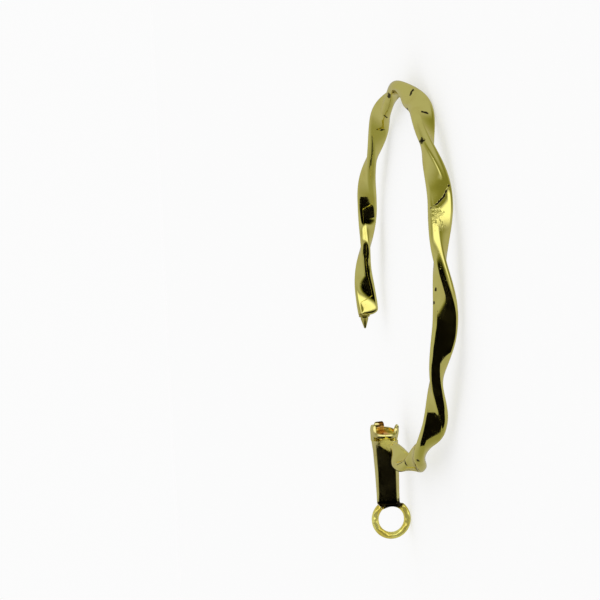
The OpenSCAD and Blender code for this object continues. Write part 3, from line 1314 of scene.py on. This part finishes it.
@dataclass(frozen=True)
class GoldFinish:
    """One finish of the yellow gold, with its wear. A noise is waves per mm and octaves."""

    name: str
    tint: Triple
    tarnish: Triple
    rough: float
    pits: float
    scratches: float
    waves: float
    wave_scale: float = 0.9
    clouds: float = 0.3
    metal: float = 1.0
    marks: tuple[Mark, ...] = ()
    patches: tuple[Patch, ...] = ()
    # Reflections painted into the colour, each with its place and colour.
    painted_reflections: tuple[PaintedReflection, ...] = ()
    bump: float = 0.02
    rim_tint: Triple = (1.0, 0.95, 0.7)
    oxide: Triple = (0.03, 0.022, 0.012)
    mark_rough: float = 0.4
    ragged: float = 1.6
    ragged_noise: Span = (4.5, 2.0)
    lump_noise: Span = (4.2, 3.0)
    lump_span: Span = (0.35, 0.62)

    def build(self, effects: Effects) -> bpy.types.Material:
        """Build the material: clean gold, then its painted reflections, its patches and its marks.

        Args:
            effects: The shared node groups.

        Returns:
            The new material.
        """
        material, graph = Graph.of_material(self.name)
        coordinates = graph.add("ShaderNodeTexCoord").outputs["Object"]
        place = graph.vector("MULTIPLY", coordinates, (1 / MM, 1 / MM, 1 / MM))["Vector"]
        wear = graph.add("ShaderNodeGroup", {
            "Place": place, "Pits": self.pits, "Scratches": self.scratches,
            "Waves": self.waves, "Wave Scale": self.wave_scale}, node_tree=effects.wear).outputs
        rough = graph.plus(wear["Rough"], self.rough)
        height = wear["Height"]
        colour = graph.blend(graph.times(wear["Tarnish"], self.clouds),
                             (*self.tint, 1.0), (*self.tarnish, 1.0))
        ragged = graph.minus(graph.noise(place, *self.ragged_noise), NOISE_MIDDLE)
        ragged = graph.times(ragged, self.ragged)

        def share_of(mark: Mark) -> Socket:
            """Return the share that a mark has at each point, up to its strength."""
            mask = graph.add("ShaderNodeGroup", {
                "Place": place, "From": mark.start, "To": mark.stop,
                "Half Width": mark.half, "Ragged": ragged}, node_tree=effects.mark)
            return graph.times(mask.outputs["Mask"], mark.strength)

        # Paint the reflections into the base colour.
        for painted_reflection in self.painted_reflections:
            colour = graph.blend(share_of(painted_reflection.mark), colour, (*painted_reflection.colour, 1.0))
        for patch in self.patches:
            share = share_of(patch.mark)
            lumps = graph.ramp(graph.noise(place, *self.lump_noise), self.lump_span)
            height = graph.plus(height, graph.times(lumps, share, patch.lumps))
            rough = graph.plus(rough, graph.times(share, patch.rough))
        if self.marks:
            filled = graph.largest(*[share_of(mark) for mark in self.marks])
            height = graph.minus(height, filled)
            rough = graph.plus(rough, graph.times(filled, self.mark_rough))
            colour = graph.blend(filled, colour, (*self.oxide, 1.0))
        bump = graph.add(
            "ShaderNodeBump", {"Height": height, "Strength": 1.0, "Distance": self.bump * MM})
        shader = graph.add("ShaderNodeBsdfPrincipled", {
            "Metallic": self.metal, "Specular Tint": (*self.rim_tint, 1.0),
            "Base Color": colour, "Roughness": rough, "Normal": bump.outputs["Normal"]})
        graph.add("ShaderNodeOutputMaterial", {"Surface": shader.outputs["BSDF"]})
        return material


@dataclass(frozen=True)
class PhotoCamera:
    """The camera at the photograph's angle, in the standing hoop's axes.

    right, up and distance say in mm where the hoop's middle lies, as the camera sees it.
    """

    yaw: float = 7.34
    roll: float = 1.617
    right: float = 8.669
    up: float = 1.9586
    distance: float = 107.363
    lens: float = 73.68
    sensor: float = 36.0
    nearest: float = 0.001
    farthest: float = 50.0

    def axes(self) -> Matrix:
        """Find the directions that the camera has to its right, up and behind it.

        Returns:
            A matrix with the three as its rows.
        """
        yaw, roll = math.radians(self.yaw), math.radians(self.roll)
        facing = Matrix(((math.sin(yaw), 0.0, -math.cos(yaw)), (0.0, 1.0, 0.0),
                         (math.cos(yaw), 0.0, math.sin(yaw))))
        rolled = Matrix(((math.cos(roll), -math.sin(roll), 0.0),
                         (math.sin(roll), math.cos(roll), 0.0), (0.0, 0.0, 1.0)))
        return rolled @ facing

    def directions(self) -> tuple[Vector, Vector, Vector]:
        """Return the same three directions in the lying frame."""
        turned = POSE.turned().to_3x3()
        return tuple(turned @ row for row in self.axes())

    def centre(self, away: float) -> Vector:
        """Return the lying frame's point, in mm, on the line of sight so far before the hoop."""
        place = -(self.axes().transposed() @ Vector((self.right, self.up, -away)))
        return Vector(POSE.at) + POSE.turned().to_3x3() @ place

    def build(self) -> None:
        """Add the camera and make it the scene's."""
        data = bpy.data.cameras.new("photo_camera")
        data.lens = self.lens
        data.sensor_width = self.sensor
        data.sensor_fit = "HORIZONTAL"
        data.clip_start = self.nearest
        data.clip_end = self.farthest
        camera = bpy.data.objects.new("photo_camera", data)
        bpy.context.scene.collection.objects.link(camera)
        turn = Matrix(self.directions()).transposed().to_4x4()
        camera.matrix_world = Matrix.Translation(self.centre(self.distance) * MM) @ turn
        bpy.context.scene.camera = camera


@dataclass(frozen=True)
class Studio:
    """A pale floor in a white tent, with a soft strip of light and a dark low front.

    Bearings count from the camera towards its right and heights from its level, in degrees.
    A span is the start and the end of a soft border. The cloth is measured in mm from the
    point of the line of sight that is as far away as the hoop. cloth_edge is its far edge:
    how far each point lies to the right, and how far towards the camera.
    """

    camera: PhotoCamera
    paper: float = 0.97
    glow: float = 0.55
    tent_low: float = 0.28
    tent_high: float = 0.43
    tent_rise: Span = (-65.0, -5.0)
    front_low: float = 0.19
    front_high: float = 0.42
    front_rise: Span = (46.0, 70.0)
    front_left: Span = (-125.0, -45.0)
    front_right: Span = (105.0, 150.0)
    front_foot: Span = (0.0, 14.0)
    warm_span: Span = (0.18, 0.42)
    warm_blue: float = 0.35
    strip: float = 0.95
    strip_mid: float = 23.0
    strip_low: float = 17.0
    strip_bend: Span = (40.0, 80.0)
    strip_border: Span = (9.0, 17.0)
    strip_left: Span = (-78.0, -45.0)
    strip_right: Span = (52.0, 90.0)
    dark_top: float = 5.0
    dark_mid: float = 15.0
    dark_fall: float = 0.0027
    dark_border: Span = (-4.0, 4.0)
    dark_right: Span = (78.0, 96.0)
    dark_foot: Span = (-30.0, -22.0)
    floor_half: float = 3.0
    floor_gap: float = 1e-5
    fibre_noise: Span = (900.0, 3.0)
    fibre_tone: float = 0.985
    cloth_drop: float = 33.0
    cloth_front: float = 300.0
    cloth_colour: Triple = (0.002, 0.0015, 0.001)
    cloth_rough: float = 0.9
    cloth_edge: tuple[Span, ...] = (
        (-100.0, 35.0), (-60.0, 16.0), (-30.0, 8.0), (-21.0, 1.0), (-17.0, -4.0), (-12.0, -1.5),
        (-7.0, 0.5), (-2.0, 4.0), (3.0, 6.5), (9.0, 7.2), (13.0, 6.2), (18.0, 4.5), (26.0, 4.0),
        (36.0, 3.0), (45.0, 7.0), (54.0, 7.0), (60.0, 4.0), (68.0, 1.0), (76.0, 6.0),
        (100.0, 50.0))

    def build(self) -> None:
        """Build the light, the floor and the cloth."""
        self.tent_light()
        self.floor()
        self.dark_table()
        bpy.context.scene.view_settings.view_transform = "Standard"

    def tent_light(self) -> None:
        """Build the light that surrounds the piece, fixed to the directions of the room."""
        world = bpy.data.worlds.new("light_tent")
        bpy.context.scene.world = world
        world.use_nodes = True
        world.node_tree.nodes.clear()
        graph = Graph(world.node_tree)
        way = graph.add("ShaderNodeTexCoord").outputs["Generated"]
        right, up, nearer = (graph.vector("DOT_PRODUCT", way, tuple(axis))["Value"]
                             for axis in self.camera.directions())
        degrees = 180.0 / math.pi
        height = graph.times(graph.math("ARCSINE", up), degrees)
        bearing = graph.times(graph.math("ARCTAN2", right, nearer), degrees)
        lit = graph.minus(1.0, self.dark(graph, bearing, height))
        level = graph.plus(graph.times(self.tent_level(graph, bearing, height), lit),
                           self.strip_light(graph, bearing, height))
        blue = graph.ramp(level, self.warm_span, self.warm_blue, 1.0)
        shares = {number: graph.times(level, share) for number, share in enumerate((1.0, 1.0, blue))}
        seen = graph.add("ShaderNodeCombineColor", shares)
        plain = (self.paper, self.paper, self.paper, 1.0)
        path = graph.add("ShaderNodeLightPath")
        colour = graph.blend(path.outputs["Is Glossy Ray"], plain, seen.outputs[0])
        back = graph.add("ShaderNodeBackground", {"Color": colour})
        graph.add("ShaderNodeOutputWorld", {"Surface": back.outputs[0]})

    def tent_level(self, graph: Graph, bearing: Socket, height: Socket) -> Socket:
        """Work out the brightness of the tent, which is duller above the strip in front.

        Args:
            graph: The world's graph.
            bearing: The bearing of the direction looked in.
            height: Its height.

        Returns:
            The brightness.
        """
        around = graph.ramp(height, self.tent_rise, self.tent_low, self.tent_high)
        above = graph.ramp(height, self.front_rise, self.front_low, self.front_high)
        front = graph.times(
            graph.ramp(bearing, self.front_left), graph.fade(bearing, self.front_right),
            graph.ramp(height, self.front_foot))
        return graph.plus(graph.times(around, graph.minus(1.0, front)), graph.times(above, front))

    def dark(self, graph: Graph, bearing: Socket, height: Socket) -> Socket:
        """Work out the dark low front, whose top edge falls away to both sides.

        Args:
            graph: The world's graph.
            bearing: The bearing of the direction looked in.
            height: Its height.

        Returns:
            The share of darkness.
        """
        aside = graph.minus(bearing, self.dark_mid)
        fall = graph.times(aside, aside, self.dark_fall)
        over = graph.plus(graph.minus(height, self.dark_top), fall)
        return graph.times(
            graph.fade(over, self.dark_border), graph.fade(bearing, self.dark_right),
            graph.ramp(height, self.dark_foot))

    def strip_light(self, graph: Graph, bearing: Socket, height: Socket) -> Socket:
        """Work out what the soft strip above the front adds, with its bend down to the right.

        Args:
            graph: The world's graph.
            bearing: The bearing of the direction looked in.
            height: Its height.

        Returns:
            The added brightness.
        """
        middle = graph.ramp(bearing, self.strip_bend, self.strip_mid, self.strip_low)
        off = graph.math("ABSOLUTE", graph.minus(height, middle))
        return graph.times(
            graph.ramp(off, self.strip_border, self.strip, 0.0),
            graph.ramp(bearing, self.strip_left), graph.fade(bearing, self.strip_right))

    def dark_table(self) -> None:
        """Lay the dark cloth below and before the piece, which only its reflections show."""
        edge = self.cloth_edge
        Bench.clear()
        bpy.ops.mesh.primitive_grid_add(x_subdivisions=len(edge) - 1, y_subdivisions=1, size=1.0)
        cloth = Bench.blank("dark_table")
        Bench.edit(cloth)
        for number, (across, far) in enumerate(edge):
            column = number / (len(edge) - 1) - 0.5
            for side, nearer in ((-0.5, far), (0.5, self.cloth_front)):
                spot = Vector((column, side, 0.0))
                Bench.pick(cloth, Part.VERT, lambda corner: (corner.co - spot).length < SAME_PLACE)
                bpy.ops.transform.translate(value=(0.0, 0.0, -self.cloth_drop))
                bpy.ops.transform.translate(value=(across - column, nearer - side, 0.0))
        Bench.close(cloth)
        right, up, nearer = self.camera.directions()
        turn = Matrix((right, nearer, up)).transposed().to_4x4()
        Bench.place(cloth, Matrix.Scale(MM, 4) @ Matrix.Translation(self.camera.centre(0.0)) @ turn)
        material, graph = Graph.of_material("dark_cloth")
        shader = graph.add("ShaderNodeBsdfPrincipled", {
            "Base Color": (*self.cloth_colour, 1.0), "Roughness": self.cloth_rough,
            "Specular IOR Level": 0.0})
        graph.add("ShaderNodeOutputMaterial", {"Surface": shader.outputs["BSDF"]})
        cloth.data.materials.append(material)
        cloth.visible_camera = False
        cloth.visible_diffuse = False
        cloth.visible_shadow = False
        cloth.visible_transmission = False

    def floor(self) -> None:
        """Lay the pale paper that the earring lies on, which its reflections leave out."""
        Bench.clear()
        bpy.ops.mesh.primitive_plane_add(
            size=2 * self.floor_half, location=(0.0, 0.0, -self.floor_gap))
        floor = bpy.context.object
        floor.name = "paper_floor"
        material, graph = Graph.of_material("pale_paper")
        place = graph.add("ShaderNodeTexCoord").outputs["Object"]
        tone = graph.blend(graph.noise(place, *self.fibre_noise),
                           (self.fibre_tone, self.fibre_tone, self.fibre_tone, 1.0),
                           (1.0, 1.0, 1.0, 1.0))
        paper = graph.add("ShaderNodeBsdfDiffuse", {"Color": tone})
        glow = graph.add("ShaderNodeEmission", {"Strength": self.paper})
        lit = graph.add(
            "ShaderNodeMixShader", {0: self.glow, 1: paper.outputs[0], 2: glow.outputs[0]})
        clear = graph.add("ShaderNodeBsdfTransparent")
        path = graph.add("ShaderNodeLightPath")
        mixed = graph.add("ShaderNodeMixShader", {
            0: path.outputs["Is Glossy Ray"], 1: lit.outputs[0], 2: clear.outputs[0]})
        graph.add("ShaderNodeOutputMaterial", {"Surface": mixed.outputs[0]})
        floor.data.materials.append(material)


def main() -> None:
    """Build the finishes, the pieces from the open end to the ring, and the studio."""
    logging.basicConfig(level=logging.INFO, format="%(name)s: %(message)s")
    effects = Effects()
    band_gold = GoldFinish(
        "handled_band_gold", (0.97, 0.90, 0.27), (0.75, 0.62, 0.14), 0.03,
        pits=0.3, scratches=0.25, waves=0.15, marks=BAND_MARKS, patches=BAND_PATCHES).build(effects)
    peg_gold = GoldFinish(
        "amber_peg_gold", (0.70, 0.62, 0.19), (0.42, 0.30, 0.06), 0.05,
        pits=0.3, scratches=0.3, waves=0.2).build(effects)
    # The cast gold carries painted reflections in its colour.
    cast_gold = GoldFinish(
        "cast_setting_gold", (0.95, 0.87, 0.34), (0.7, 0.5, 0.2), 0.05,
        pits=0.3, scratches=0.2, waves=0.2, painted_reflections=CAST_PAINTED_REFLECTIONS).build(effects)
    ring_gold = GoldFinish(
        "bright_ring_gold", (1.0, 0.93, 0.25), (0.80, 0.58, 0.05), 0.05,
        pits=0.1, scratches=0.3, waves=9.0, wave_scale=1.6, clouds=0.7, metal=0.62).build(effects)
    route = HoopRoute()
    TwistedBand(route).build(band_gold)
    EndPeg(route).build(peg_gold)
    ClawCup().build(cast_gold)
    TaperedStem().build(cast_gold)
    CharmRing().build(ring_gold)
    camera = PhotoCamera()
    camera.build()
    Studio(camera).build()


if __name__ == "__main__":
    main()
